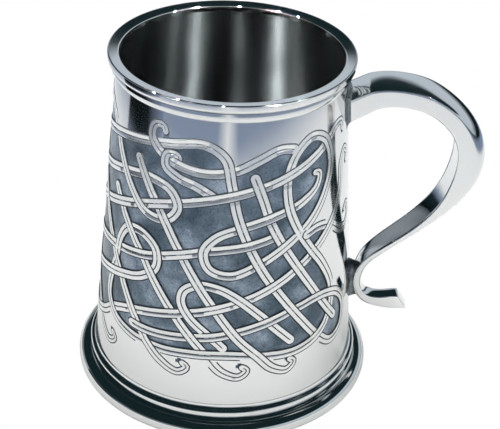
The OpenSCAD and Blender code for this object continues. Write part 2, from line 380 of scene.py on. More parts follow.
# The panel is laid out flat in millimetres: first the distance around the drum from the middle of its front,
# towards the handle, then the height above the table. These strands cover half of the panel. The other half
# is the same half turned about MIDDLE, and strands of one half run on into those of the other.
MIDDLE = (-66.0, 66.5)
WRAP_R = 42.0
STRANDS = {
    "border": [
        (-66, 93), (-50, 97), (-34, 100.5), (-18, 103.5), (-7, 105), (0, 101), (2.5, 92), (4.5, 82),
        (8.5, 71), (14, 60), (21, 49), (28, 39), (35, 30), (42, 24.5), (49, 26.5), (51, 34.5), (46, 41.5),
        (36, 45), (25, 44), (12, 40.5), (-1, 37), (-13, 35), (-24, 33.5), (-33, 33.3),
    ],
    "upper_head": [
        (-66, 80), (-52, 83.5), (-38, 87.5), (-27, 89.5), (-18.5, 87.5), (-15.5, 82), (-19.5, 76.8),
        (-28, 76.8), (-35.5, 82.5), (-42, 90.5), (-48, 99), (-55, 104.5), (-66, 107),
    ],
    "long_riser": [
        (-66, 66.5), (-52, 71), (-38, 76), (-24, 81), (-10, 85), (4, 88.5), (18, 92), (30, 96),
        (40, 100.5), (46, 104), (50.5, 103.5), (51, 99.5),
    ],
    "wanderer": [
        (-66, 40), (-52, 44.5), (-38, 49), (-28, 53), (-22.5, 58.5), (-23, 65), (-29, 68.8), (-36, 67.5),
        (-40, 62), (-41.8, 54), (-44.5, 45.5), (-45, 37), (-40.5, 31.5), (-32, 29), (-20, 28.5), (-8, 29.5),
        (4, 30), (16, 28.5), (27, 28), (36.5, 31), (42, 38), (42, 47), (37.5, 56.5), (31.5, 65), (26, 74),
        (22.5, 83), (22, 92), (25, 100), (32, 104.5), (39, 101.5), (42, 92), (38.5, 83), (32, 75.5),
        (22, 69), (12, 63.5), (3, 60), (-4, 62), (-6, 68), (-2, 73.5), (6, 77), (17, 80), (28, 83),
        (34.5, 87), (35.5, 91), (32, 92),
    ],
    "top_curl": [
        (-21, 105.5), (-22.5, 108.5), (-26, 108), (-27, 104), (-23, 99.5), (-15, 96.5), (-6, 95.5), (4, 97),
        (12, 100.5), (19, 103), (26, 102),
    ],
    "short_riser": [
        (-66, 53), (-52, 56), (-38, 58.7), (-26, 61.5), (-14, 65.5), (-4, 68.5), (8, 70.5), (20.5, 73.5),
    ],
    "low_riser": [
        (-66, 26), (-57, 25), (-49, 28), (-41, 34), (-31, 38.5), (-18, 42.5), (-4, 46.5), (9, 51), (22, 57),
        (34, 64), (44, 72), (49, 81), (50, 89.5), (53, 92.5), (56, 90), (54, 87),
    ],
    "left_faller": [
        (-66, 87), (-59, 77.5), (-52, 67.5), (-45, 57.5), (-37.5, 47), (-31, 37.5), (-25, 29.5), (-19, 24),
        (-13, 21.5), (-10, 24), (-12.5, 26),
    ],
    "edge_faller": [
        (-66, 46), (-60, 37.5), (-54, 29), (-48.5, 22), (-43, 19.5), (-39.5, 22), (-42, 24.5),
    ],
    "long_faller": [
        (-33.5, 96), (-27, 86), (-21, 77.5), (-14.5, 67), (-8, 56.5), (-1, 46), (6, 36), (12.5, 29),
        (17.5, 23.5), (22.5, 21.5), (25, 24), (22.5, 26),
    ],
    "mid_faller": [
        (-45.5, 80.5), (-41.5, 75.2), (-36.5, 69.5), (-32, 64.5), (-28, 60), (-22.5, 52.5), (-16, 44),
        (-9.5, 36), (-4, 29.5), (1, 23.5), (6.5, 21.5), (9, 24), (6.5, 26),
    ],
    "low_lobe": [
        (25, 31.3), (19, 38), (12.5, 45), (6, 51), (0, 54.7), (-6.5, 55.7), (-11.8, 53), (-12.8, 48.5),
        (-10, 43.3), (-5, 38.5), (-0.5, 34.6), (2.5, 31.6),
    ],
    "upper_tendril": [
        (-1.5, 86.5), (-9, 90.5), (-16, 92.5), (-21, 95.5), (-20.5, 99.5), (-16.5, 99.8), (-15.5, 96.5),
    ],
    "right_tendril": [
        (28, 70), (35, 71.5), (42, 69.5), (48, 65), (54, 63.5), (57.5, 67), (55.5, 71), (52, 69.5),
    ],
    "right_faller": [(9.5, 96), (13, 87), (16.5, 77), (22, 66.5), (28.5, 56), (35, 46), (40, 38.5), (45, 32)],
}
# Places inside the curls that stay plain metal
PLAIN_EYES = [(-24, 105.5), (-13, 24), (-42, 22), (22, 23.5), (6.3, 24), (53, 89.5)]
# Ends that thin out into a curl
CURLS = [
    ("long_riser", -1), ("wanderer", -1), ("top_curl", 0), ("low_riser", -1), ("left_faller", -1),
    ("edge_faller", -1), ("long_faller", -1), ("mid_faller", -1), ("upper_tendril", -1),
    ("right_tendril", -1),
]
# Distance between samples along a strand, how far it dips below another and over what length it comes up
STEP = 0.6
DIP = 0.095
DIP_RAMP = 0.9
# A strand's section: the groove's half width and depth and how far from a tip it starts, the bevel of each
# band, the height of the dark ledges beside it and how far it reaches into the drum
GROOVE = 0.2
GROOVE_DEEP = 0.14
GROOVE_FROM = 1.2
BEVEL = 0.07
LEDGE_HIGH = 0.02
ROOTED = 0.35
# How narrow a strand is at the tip of a curl, as a share of its width, and the length over which it thins out
CURL_SLIM = 0.62
CURL_LONG = 14
# Size of the cells that tell ground from plain metal; pockets of ground with fewer cells than this stay plain
CELL = 0.4
SMALL_POCKET = 20
# Two ends closer than this are the same point
MEETING = 0.1
# Strands that touch at less than this sine of an angle do not cross
CROSS_SINE = 0.12
# Heights between which the drum's wall is divided finely enough for the sunk ground
PANEL_LOW = 16.0
PANEL_HIGH = 113.0


def half_turn(points):
    """The same points turned by half a turn about the middle of the panel."""
    return [(2 * MIDDLE[0] - x, 2 * MIDDLE[1] - y) for x, y in points]


def whole_strands():
    """The strands of both halves, joined where their ends meet."""
    pieces = [list(p) for p in STRANDS.values()]
    pieces += [half_turn(p) for p in STRANDS.values()]
    while True:
        meetings = (
            (a, b, one + two[1:])
            for a, b in combinations(range(len(pieces)), 2)
            for one in (pieces[a], pieces[a][::-1])
            for two in (pieces[b], pieces[b][::-1])
            if math.dist(one[-1], two[0]) < MEETING
        )
        meeting = next(meetings, None)
        if meeting is None:
            return pieces
        a, b, pieces[a] = meeting
        del pieces[b]


def smooth_line(points, steps=24):
    """A smooth line through points, rounder than it is tight: a centripetal Catmull-Rom curve."""
    p = np.array(points, float)
    p = np.vstack([2 * p[0] - p[1], p, 2 * p[-1] - p[-2]])
    line = []
    for a, b, c, d in zip(p, p[1:], p[2:], p[3:]):
        t1 = math.dist(a, b) ** 0.5
        t2 = t1 + math.dist(b, c) ** 0.5
        t3 = t2 + math.dist(c, d) ** 0.5
        t = np.linspace(t1, t2, steps, endpoint=False)[:, None]
        ab = (t1 - t) / t1 * a + t / t1 * b
        bc = (t2 - t) / (t2 - t1) * b + (t - t1) / (t2 - t1) * c
        cd = (t3 - t) / (t3 - t2) * c + (t - t2) / (t3 - t2) * d
        abc = (t2 - t) / t2 * ab + t / t2 * bc
        bcd = (t3 - t) / (t3 - t1) * bc + (t - t1) / (t3 - t1) * cd
        line.append((t2 - t) / (t2 - t1) * abc + (t - t1) / (t2 - t1) * bcd)
    return np.vstack([*line, p[-2]])


def travelled(line):
    """Distance along a line to each of its points."""
    return np.concatenate([[0], np.cumsum(np.linalg.norm(np.diff(line, axis=0), axis=1))])


def sampled(points, tip):
    """Even samples along a smooth strand, closer over its two rounded tips: (samples, distances)."""
    line = smooth_line(points)
    far = travelled(line)
    total = far[-1]
    round_end = tip * (1 - np.cos(np.linspace(0, math.pi / 2, 9)))
    middle = np.linspace(tip, total - tip, max(3, int((total - 2 * tip) / STEP)))
    at = np.concatenate([round_end[:-1], middle, total - round_end[::-1][1:]])
    return np.stack([np.interp(at, far, line[:, k]) for k in (0, 1)], 1), at


def find_crossings(strands):
    """Where strands cross: each of the two as (strand, place counted in samples), and the angle's sine."""
    owner = np.concatenate([np.full(len(s) - 1, k) for k, s in enumerate(strands)])
    index = np.concatenate([np.arange(len(s) - 1) for s in strands])
    start = np.vstack([s[:-1] for s in strands])
    step = np.vstack([np.diff(s, axis=0) for s in strands])
    length = np.linalg.norm(step, axis=1)
    found = []
    for m in range(len(start)):
        other = m + 1 + np.where((np.abs(start[m + 1 :] - start[m]) < 2 * STEP).all(1))[0]
        turn = step[m, 0] * step[other, 1] - step[m, 1] * step[other, 0]
        sine = np.abs(turn) / (length[m] * length[other] + 1e-12)
        keep = (sine > CROSS_SINE) & ((owner[other] != owner[m]) | (index[other] > index[m] + 2))
        other, turn, sine = other[keep], turn[keep], sine[keep]
        gap = start[other] - start[m]
        t = (gap[:, 0] * step[other, 1] - gap[:, 1] * step[other, 0]) / turn
        s = (gap[:, 0] * step[m, 1] - gap[:, 1] * step[m, 0]) / turn
        for n in np.where((t >= 0) & (t < 1) & (s >= 0) & (s < 1))[0]:
            two = other[n]
            found.append(((owner[m], index[m] + t[n]), (owner[two], index[two] + s[n]), sine[n]))
    return found


def weave(crossings, count):
    """Which strand lies on top at each crossing, so that each strand goes over and under in turn."""
    visits = [[] for _ in range(count)]
    for c, (one, two, _) in enumerate(crossings):
        visits[one[0]].append((one[1], c, 0))
        visits[two[0]].append((two[1], c, 1))
    links = [[] for _ in crossings]
    for visit in visits:
        visit.sort()
        for (_, a, side_a), (_, b, side_b) in zip(visit, visit[1:]):
            flip = 1 if side_a == side_b else 0
            links[a].append((b, flip))
            links[b].append((a, flip))
    top = {}
    for first in range(len(crossings)):
        waiting = [first] if first not in top else []
        top.setdefault(first, 0)
        while waiting:
            c = waiting.pop(0)
            for other, flip in links[c]:
                if other not in top:
                    top[other] = top[c] ^ flip
                    waiting.append(other)
    return top


def plain_cells(strands):
    """The flat panel as a grid of cells: True where the metal outside the interlace stays plain."""
    around = 2 * math.pi * WRAP_R
    low = np.array([MIDDLE[0] - around / 2, 0.0])
    size = (int(around / CELL) + 1, int(RIM[1].z / MM / CELL) + 1)
    strand = np.zeros(size, bool)
    for line in strands:
        i, j = ((line[2:-2] - low) / CELL).astype(int).T
        for di, dj in ((0, 0), (1, 0), (-1, 0), (0, 1), (0, -1)):
            strand[i + di, j + dj] = True
    plain = np.zeros(size, bool)
    plain[:, 0] = True
    for eye in PLAIN_EYES + half_turn(PLAIN_EYES):
        i, j = ((np.array(eye) - low) / CELL).astype(int)
        plain[i, j] = True
    while True:
        grown = plain.copy()
        grown[1:] |= plain[:-1]
        grown[:-1] |= plain[1:]
        grown[:, 1:] |= plain[:, :-1]
        grown[:, :-1] |= plain[:, 1:]
        grown &= ~strand
        grown |= plain
        if (grown == plain).all():
            break
        plain = grown
    left = ~(plain | strand)
    while left.any():
        start = tuple(np.argwhere(left)[0])
        left[start] = False
        pocket, reached = [start], 0
        while reached < len(pocket):
            i, j = pocket[reached]
            reached += 1
            for cell in ((i + 1, j), (i - 1, j), (i, j + 1), (i, j - 1)):
                if 0 <= cell[0] < size[0] and 0 <= cell[1] < size[1] and left[cell]:
                    left[cell] = False
                    pocket.append(cell)
        if len(pocket) < SMALL_POCKET:
            plain[tuple(np.transpose(pocket))] = True
    return plain, low


def on_drum(u, h, lift, sizes):
    """Points u millimetres around the drum and h up it, lifted off its outside by some millimetres."""
    angle = u / WRAP_R - math.pi / 2
    lean = (DRUM[1].x - sizes.drum_r_high) / (RIM[1].z - DRUM[0].z)
    away = lift * MM / math.hypot(1, lean)
    r = drum_radius(h * MM, sizes) + away
    return np.stack([r * np.cos(angle), r * np.sin(angle), h * MM + away * lean], -1)


def strand_strip(line, far, dips, curled, sizes):
    """A strand as a low strip: two bright bands with a groove between them and a dark ledge on either side.

    Returns its points, faces and material slots; dips is how far each sample goes under, in millimetres.
    """
    half = sizes.strand_w / MM / 2
    ledge = sizes.strand_line / MM
    relief = sizes.strand_relief / MM
    total = far[-1]
    slim = np.ones(len(line))
    for end, distance in ((0, far), (1, total - far)):
        if curled[end]:
            slim *= CURL_SLIM + (1 - CURL_SLIM) * np.clip(distance / CURL_LONG, 0, 1)
    edge = np.minimum(far, total - far)
    outer = half * slim + ledge
    outer_now = np.sqrt(np.clip(outer**2 - np.clip(outer - edge, 0, None) ** 2, 1e-6, None))
    inner = half * slim
    inner_edge = np.clip(edge - ledge, 0, None)
    inner_now = np.sqrt(np.clip(inner**2 - np.clip(inner - inner_edge, 0, None) ** 2, 1e-6, None))
    cut = np.clip((edge - ledge - GROOVE_FROM) / STEP, 0, 1)
    half_cut = np.minimum(GROOVE * cut, inner_now * 0.3)
    bevel = np.minimum(BEVEL, inner_now * 0.3)
    across = np.stack(
        [
            -outer_now, -outer_now, -inner_now, -inner_now + bevel, -half_cut, 0 * half_cut,
            half_cut, inner_now - bevel, inner_now, outer_now, outer_now,
        ],
        1,
    )
    ones = np.ones(len(line))
    low, high = [-ROOTED * ones, LEDGE_HIGH * ones, LEDGE_HIGH * ones], [relief * ones, relief * ones]
    height = np.stack([*low, *high, relief - GROOVE_DEEP * cut, *high, *low[::-1]], 1) - dips[:, None]
    stretch = drum_mm(line[:, 1], sizes) / WRAP_R
    ahead = np.gradient(line, axis=0) * np.stack([stretch, ones], 1)
    ahead /= np.linalg.norm(ahead, axis=1)[:, None]
    u = line[:, 0, None] - across * (ahead[:, 1] / stretch)[:, None]
    h = line[:, 1, None] + across * ahead[:, 0, None]
    points = on_drum(u, h, height, sizes)
    rows, cols = u.shape
    faces = grid_faces(rows, cols, False, True)
    # Every face but the two bright bands takes the dark line: patina in the cuts, and painted shade along the
    # strand's edge beside the ground
    bright = np.isin(np.arange(cols), (3, 6))
    slots = np.tile(np.where(bright, 0, 1), rows - 1)
    return points.reshape(-1, 3), faces.tolist() + end_caps(rows, cols), list(slots) + [1, 1]


def panel_strands(sizes):
    """Every strand of the panel: its samples, distances, dips and which of its ends curl."""
    tip = sizes.strand_w / MM / 2 + sizes.strand_line / MM
    routes = whole_strands()
    lines = [sampled(route, tip) for route in routes]
    crossings = find_crossings([line for line, _ in lines])
    top = weave(crossings, len(lines))
    dips = [np.zeros(len(line)) for line, _ in lines]
    for c, (one, two, sine) in enumerate(crossings):
        strand, at = two if top[c] == 0 else one
        far = lines[strand][1]
        middle = np.interp(at, np.arange(len(far)), far)
        cover = (tip + (tip - sizes.strand_line / MM) * math.sqrt(max(0, 1 - sine**2))) / sine
        ramp = np.clip((np.abs(far - middle) - cover) / DIP_RAMP, 0, 1)
        dips[strand] = np.maximum(dips[strand], DIP * (1 - ramp * ramp * (3 - 2 * ramp)))
    tips = [STRANDS[name][end] for name, end in CURLS]
    tips += half_turn(tips)
    curled = [[min(math.dist(end, t) for t in tips) < MEETING for end in (r[0], r[-1])] for r in routes]
    return [(line, far, dip, curl) for (line, far), dip, curl in zip(lines, dips, curled)]


# ---------------------------------------------------------------- handle shape

# Stations along the middle of the bow, in millimetres: x, z, depth, width, height of the domed back
BOW = [
    (31.5, 97.0, 9.6, 14.4, 0.5),
    (38.0, 102.3, 8.4, 14.4, 0.5),
    (44.0, 106.7, 7.6, 14.4, 0.5),
    (50.6, 108.7, 6.8, 14.5, 0.5),
    (57.6, 108.6, 6.5, 14.7, 0.6),
    (64.6, 107.0, 6.5, 14.9, 0.9),
    (70.8, 103.5, 7.0, 15.0, 1.6),
    (75.8, 98.8, 7.9, 15.0, 2.6),
    (79.3, 92.7, 9.0, 14.8, 3.6),
    (80.5, 86.0, 9.7, 14.5, 4.3),
    (79.4, 78.6, 9.2, 14.2, 4.3),
    (75.6, 70.4, 6.9, 13.7, 3.6),
    (68.9, 61.9, 4.4, 13.0, 2.7),
    (61.0, 54.5, 3.3, 12.1, 2.1),
    (53.6, 47.9, 3.2, 10.8, 1.9),
    (48.7, 42.1, 3.1, 9.0, 1.6),
    (46.9, 36.4, 2.9, 7.6, 1.1),
    (47.3, 31.4, 2.9, 6.7, 0.7),
    (50.2, 27.5, 3.4, 6.0, 0.5),
    (55.0, 26.0, 4.2, 5.7, 0.4),
    (60.4, 26.1, 5.6, 5.6, 0.4),
    (66.6, 26.6, 6.6, 5.6, 0.4),
]
# Places along the bow, counted in stations: where it leaves the drum, where its tail ends, and the stretch
# of its lower end that the pad of solder backs
ROOT_AT = 1.8
TAIL_AT = 20
PAD_FROM = 15.3
PAD_TO = 17.7
# How far along the bow the cut end at the drum runs out into its own outline, in stations, and how far the
# handle and its solder reach into the drum
ROOT_RUN = 0.55
SINK = 0.2
# A point on the slanted cut that ends the tail, and the way the cut faces, as (x, z)
TAIL_CUT = (63.3, 26.3)
TAIL_FACE = (0.82, 0.57)
# Radii at which the top of the floor is drawn, closest over its turned ring, and where that ring is
FLOOR_R = [0, 6, 12, 18, 22, 24, 25, 25.5, 26, 26.5, 27, 28, 30, 34, 38, 42, 44]
FLOOR_RING = 26
# Radius of the handle's rounded edges, the crown of its inner side and the most that its back may be domed,
# as a share of its depth
EDGE = 0.75
CROWN = 0.15
DOME_MOST = 0.62


class Bow:
    """A smooth curve through the stations, with no sudden change in how it bends."""

    def __init__(self):
        self.y = np.array(BOW, float)
        n = len(self.y)
        self.knots = travelled(self.y[:, :2])
        step = np.diff(self.knots)
        rows = np.eye(n)
        right = np.zeros_like(self.y)
        slope = np.diff(self.y, axis=0) / step[:, None]
        for i in range(1, n - 1):
            rows[i, i - 1] = step[i - 1]
            rows[i, i] = 2 * (step[i - 1] + step[i])
            rows[i, i + 1] = step[i]
            right[i] = 6 * (slope[i] - slope[i - 1])
        self.bend = np.linalg.solve(rows, right)

    def at(self, u):
        """Station at u, counted in stations: x, z, depth, width and dome."""
        i = min(int(u), len(self.y) - 2)
        step = self.knots[i + 1] - self.knots[i]
        b = u - i
        a = 1 - b
        cubic = ((a**3 - a) * self.bend[i] + (b**3 - b) * self.bend[i + 1]) * step**2 / 6
        return a * self.y[i] + b * self.y[i + 1] + cubic

    def heading(self, u):
        """Direction of the bow at u, in the plane of x and z."""
        ahead = (self.at(u + 0.01) - self.at(u - 0.01))[:2]
        return ahead / np.linalg.norm(ahead)

    def section(self, u, grow=0.0):
        """Outline at u as (across, out) pairs: crowned inner side, rounded edges and domed back."""
        _, _, depth, width, dome = self.at(u)
        a = width / 2 + grow
        d = depth / 2 + grow
        dome = min(dome, depth * DOME_MOST)
        inner = [(x * (a - EDGE), -d + CROWN * x * x) for x in np.linspace(-1, 1, 13)]
        near = arc((a - EDGE, -d + EDGE), (EDGE, EDGE), -80, 0, 5)
        back = arc((0, d - dome), (a, dome), 0, 180, 44)
        far = arc((-a + EDGE, -d + EDGE), (EDGE, EDGE), 180, 260, 5)
        low, high = -d + EDGE, d - dome
        side = [(a, low + share * (high - low)) for share in (0.15, 0.85)]
        other = [(-x, y) for x, y in side[::-1]]
        return np.array(inner + near + side + back + other + far)

    def ring(self, u, grow=0.0):
        """The outline at u as points in space, in millimetres."""
        x, z = self.at(u)[:2]
        t = self.heading(u)
        flat = self.section(u, grow)
        return np.stack([x - t[1] * flat[:, 1], flat[:, 0], z + t[0] * flat[:, 1]], 1)

    def root_ring(self, grow, add, sizes):
        """The outline where the bow leaves the drum, slid along the bow onto the drum made wider by add."""
        t = self.heading(ROOT_AT)
        points = self.ring(ROOT_AT, grow)
        for _ in range(8):
            r = drum_mm(points[:, 2], sizes) + add
            slide = (np.sqrt(r**2 - points[:, 1] ** 2) - points[:, 0]) / t[0]
            points = points + slide[:, None] * [t[0], 0, t[1]]
        return points

    def tail_ring(self, back, shrink):
        """The last outline, slid onto the slanted cut or a plane behind it, and drawn in by shrink."""
        t = self.heading(TAIL_AT)
        t = np.array([t[0], 0, t[1]])
        n = np.array([TAIL_FACE[0], 0, TAIL_FACE[1]]) / math.hypot(*TAIL_FACE)
        c = np.array([TAIL_CUT[0], 0, TAIL_CUT[1]]) - back * n
        points = self.ring(TAIL_AT, -shrink)
        return points + ((c - points) @ n / (t @ n))[:, None] * t


def loft(name, rings, materials, closed=False):
    """Skins a row of like outlines, given in millimetres, capped at both ends or closed into a ring."""
    rows, cols = len(rings), len(rings[0])
    faces = grid_faces(rows, cols, closed, True).tolist() + ([] if closed else end_caps(rows, cols))
    return make_piece(name, np.concatenate(rings) * MM, faces, materials)


# ---------------------------------------------------------------- pieces


def build_drum(sizes):
    """The rolled wall, open at its seam: plain outside, a sunk ground under the interlace, satin inside."""
    plain, low = plain_cells([line for line, *_ in panel_strands(sizes)])
    around = 2 * math.pi * WRAP_R
    columns = int(around * MM / sizes.grid)
    bottom, top = DRUM[0].z / MM, DRUM[1].z / MM
    rows = int((PANEL_HIGH - PANEL_LOW) * MM / sizes.grid)
    outside = np.concatenate([[bottom, 10], np.linspace(PANEL_LOW, PANEL_HIGH, rows), [top]])
    inside = np.linspace(top, bottom, 30)
    share = np.linspace(0, 1, columns)

    def wall(radius):
        slit = np.arcsin(SEAM[1].y / radius)[:, None]
        return slit + (2 * math.pi - 2 * slit) * share

    h = np.repeat(outside[:, None], columns, 1)
    angle = wall(drum_radius(outside * MM, sizes))
    u = low[0] + (WRAP_R * (angle + math.pi / 2) - low[0]) % around
    sunk = ~plain[((u - low[0]) / CELL).astype(int), (h / CELL).astype(int)]
    outer = on_drum(u, h, np.where(sunk, -sizes.ground_depth / MM, 0), sizes)
    r = bore_radius(inside * MM, sizes)
    angle = wall(r)
    r = r[:, None]
    inner = np.stack([r * np.cos(angle), r * np.sin(angle), inside[:, None] * MM + 0 * angle], -1)
    count = len(outside) + len(inside)
    faces = grid_faces(count, columns, True)
    ground = sunk[:-1, :-1] | sunk[1:, :-1] | sunk[:-1, 1:] | sunk[1:, 1:]
    slots = np.full((count, columns - 1), 2)
    slots[: len(outside) - 1] = ground
    slots[len(outside) - 1] = 0
    ends = [list(range(0, count * columns, columns)), list(range(columns - 1, count * columns, columns))]
    points = np.concatenate([outer, inner])
    materials = [finish("drum_polish"), finish("patinated_ground"), finish("lathe_satin_pewter")]
    return make_piece("tankard_drum", points, faces.tolist() + ends, materials, [*slots.ravel(), 0, 0])


def build_interlace(sizes):
    """Every strand of the panel as one relief that lies on the drum."""
    points, faces, slots, first = [], [], [], 0
    for line, far, dips, curled in panel_strands(sizes):
        new, new_faces, new_slots = strand_strip(line, far, dips, curled, sizes)
        points.append(new)
        faces += [[first + k for k in face] for face in new_faces]
        slots += new_slots
        first += len(new)
    materials = [finish("strand_polish"), finish("patina_and_shade_line")]
    return make_piece("interlace_strands", np.concatenate(points), faces, materials, slots)


def build_seam(sizes):
    """The soldered seam behind the handle: a narrow fin in the slit, a hair proud of both sides."""
    rings = []
    for z in np.linspace(DRUM[0].z, DRUM[1].z, 80) / MM:
        half = SEAM[1].y / MM
        proud = 0.05 + 0.03 * math.sin(z * 0.9) * math.sin(z * 0.37)
        r_in = bore_mm(z, sizes)
        r_out = drum_mm(z, sizes)
        outline = [(r_in, -half), (r_out, -half), *arc((r_out, 0), (proud, half), -90, 90, 8)[1:-1]]
        outline += [(r_out, half), (r_in, half), *arc((r_in, 0), (proud, half), 90, 270, 8)[1:-1]]
        rings.append(np.array([(x, y, z) for x, y in outline]))
    return loft("seam_strip", rings, [finish("turned_polish")])


def build_floor(sizes):
    """The floor disc, barely domed, with the shallow ring that its turning tool left."""
    low, high = FLOOR[0].z / MM, FLOOR[1].z / MM
    r_low, r_high = bore_mm(low, sizes), bore_mm(high, sizes)
    top = []
    for r in FLOOR_R:
        dome, ring = 0.35 * math.cos(r / r_high * math.pi / 2), 0.12 * math.exp(-((r - FLOOR_RING) ** 2))
        top.append((r, high + dome - ring))
    profile = [(0, low), (r_low, low), (r_high, high), *top[::-1]]
    return turned("floor_plate", profile, [finish("lathe_satin_pewter")], sizes)


def build_floor_solder(sizes):
    """The solder in the corner between floor and drum, drawn hollow as it cooled."""
    z = FLOOR[1].z / MM
    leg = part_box("floor_solder")[1].z / MM - z
    r = bore_mm(z, sizes)
    hollow = arc((r - leg, z + leg), (leg, leg), 0, -90, 8)
    profile = [(bore_mm(z + leg, sizes) + 0.05, z + leg), *hollow, (r - leg, z - 0.05), (r, z - 0.05)]
    return turned("floor_fillet", profile, [finish("run_solder")], sizes)


def build_rim(sizes):
    """The turned ring at the mouth: a round bead over the drum's edge and a flat band below it."""
    sheet = sizes.sheet / MM
    bead = sizes.bead_r / MM
    band_out = sizes.rim_band_out / MM
    low, high = RIM[0].z / MM, RIM[1].z / MM
    drum_top = DRUM[1].z / MM
    bead_z = high - bead
    bead_x = RIM[1].x / MM - bead
    lip = high - (drum_top + 0.2)
    band_high = bead_z - bead
    band_mid = (low + band_high) / 2
    bore = drum_mm(drum_top, sizes) - sheet
    profile = [
        (drum_mm(low, sizes), low),
        (drum_mm(drum_top, sizes), drum_top),
        (bore, drum_top),
        (bore, high - lip),
        *arc((bore + 0.7, high - 1.05), (0.7, 0.7), 180, 98, 12),
        *arc((bead_x + bead - 0.4, high - 0.4), (0.4, 0.4), 98, 0, 16),
        *arc((bead_x + bead - 1.3, bead_z - 0.2), (1.3, 1.3), 0, -58, 16),
        (bead_x + bead * 0.5, band_high + 0.12),
        *arc((drum_mm(band_high, sizes) + band_out - 0.3, band_high - 0.3), (0.3, 0.3), 80, 0, 6),
        *arc((drum_mm(band_mid, sizes) + band_out - 0.5, band_mid + 0.5), (0.5, 0.5), 0, -90, 10),
        *arc((drum_mm(low, sizes) + 0.1, band_mid), (band_out - 0.9, band_mid - low), 0, -90, 16),
    ]
    return turned("rim_ring", profile, [finish("turned_polish")], sizes)


def build_foot(sizes):
    """The spun foot: a cove and a stepped band around the drum, over a rounded standing ring."""
    high = FOOT[1].z / MM
    ring_high = sizes.foot_ring_h / MM
    band_x = drum_mm(0, sizes) + sizes.foot_band_out / MM
    ring_x = FOOT[1].x / MM
    ring_mid = ring_high * 0.43
    bottom = DRUM[0].z / MM
    bore = drum_mm(bottom, sizes) - sizes.sheet / MM
    profile = [
        (drum_mm(high, sizes), high),
        *arc((drum_mm(high, sizes) + 0.95, high), (0.85, 1.5), 180, 270, 14),
        *arc((band_x - 0.9, high - 2.6), (0.9, 1.1), 90, 0, 14),
        (band_x, ring_high),
        (band_x + 0.3, ring_high - 0.3),
        *arc((band_x + 0.9, ring_mid), (ring_x - band_x - 0.9, ring_high - ring_mid), 90, 0, 30),
        *arc((ring_x - 1.2, ring_mid), (1.2, ring_mid), 0, -90, 16),
        (ring_x - 3.4, 0),
        (bore, bottom - 1.4),
        (bore, bottom),
        (drum_mm(bottom, sizes), bottom),
    ]
    return turned("foot_ring", profile, [finish("turned_polish")], sizes)


def build_handle(sizes):
    """The cast handle from its root on the drum, round the bow and down to its cut tail."""
    bow = Bow()
    start = ROOT_AT + ROOT_RUN
    root, first = bow.root_ring(0, -SINK, sizes), bow.ring(start)
    rings = [root + (first - root) * share for share in np.linspace(0, 1, 12, endpoint=False)]
    rings += [bow.ring(u) for u in np.linspace(start, TAIL_AT - 0.1, 320)]
    rings += [bow.tail_ring(0.45, 0), bow.tail_ring(0.12, 0.12), bow.tail_ring(0, 0.45)]
    return loft("scroll_handle", rings, [finish("cast_polish")])


def build_root_solder(sizes):
    """The fillet of solder around the handle's root, drawn hollow."""
    bow = Bow()
    leg = sizes.root_fillet / MM
    rings = [bow.root_ring(-SINK, -SINK, sizes), bow.root_ring(-0.15, leg, sizes)]
    for turn in np.radians(np.linspace(0, 90, 10)):
        rings.append(bow.root_ring(leg * (1 - math.cos(turn)), leg * (1 - math.sin(turn)), sizes))
    rings.append(bow.root_ring(leg, -0.15, sizes))
    return loft("root_fillet", rings, [finish("run_solder")], closed=True)


def build_pad(sizes):
    """The lump of solder between drum and lower end of the handle: uneven, and flared at both ends."""
    bow = Bow()
    rings = []
    for share in np.linspace(0, 1, 33):
        u = PAD_FROM + (PAD_TO - PAD_FROM) * share
        x, z, depth = bow.at(u)[:3]
        t = bow.heading(u)
        inner = np.array([x + t[1] * depth / 2, z - t[0] * depth / 2])
        inner = inner + 0.35 * np.array([-t[1], t[0]])
        bulge = math.sqrt(max(0.02, 1 - abs(2 * share - 1) ** 3))
        half = sizes.pad_w / MM / 2 * bulge * (1 + 0.06 * math.sin(9 * share) + 0.04 * math.sin(23 * share))
        z_drum = inner[1] + 1.1 * (0.5 - share) ** 3 * 8
        x_drum = drum_mm(z_drum, sizes)
        ring = []
        for side in (1, -1):
            for s in np.linspace(0, 1, 9)[:: side]:
                waist = half * (1 - 0.16 * math.sin(math.pi * s)) + 0.7 * (1 - s) ** 3
                y = side * waist
                drum_x = math.sqrt((x_drum - 0.25) ** 2 - y * y)
                ring.append((drum_x + (inner[0] - drum_x) * s, y, z_drum + (inner[1] - z_drum) * s))
        rings.append(np.array(ring))
    return loft("lower_pad", rings, [finish("run_solder")])


# ---------------------------------------------------------------- stage


# Heights above the horizon, in degrees, over which the room's pale walls come out of the dark below them and
# run into the dark ceiling
WALL_FOOT = (2, 6)
WALL_TOP = (22, 26)
# The same for the lighter band low down all round the room
BAND_FOOT = (-2, 2)
BAND_TOP = (10, 18)
# How far behind the tankard and to its left the pale walls end, as degrees from straight behind
WALL_END = 25
# How they fade out there, as the cosine of the angle to their middle
WALL_FADE = (-0.05, 0.10)
# Half width and half length of the white paper and how far it lies to the right, in metres
PAPER = (0.29, 0.27)
PAPER_X = 0.03
# Where the paper runs out into the table, as a share of its half sizes, and half the width of the strip
# straight in front along which it does not
PAPER_EDGE = (0.9, 1.2)
PAPER_STRIP = 0.055
# How far behind the tankard the table turns dark
TABLE_BACK = (0.30, 0.42)
# The round table's radius and thickness in metres, and the faces around it
TABLE_R = 3.0
TABLE_THICK = 0.01
TABLE_STEPS = 96
# The dark card's place as (x, y), its width and height and its thickness, and where its ink fades in from its
# front end and from its foot
CARD_AT = (-0.243, -0.035)
CARD = (0.20, 0.05)
CARD_THICK = 0.002
CARD_FRONT = (-0.125, -0.055)
CARD_FOOT = (0.0, 0.012)


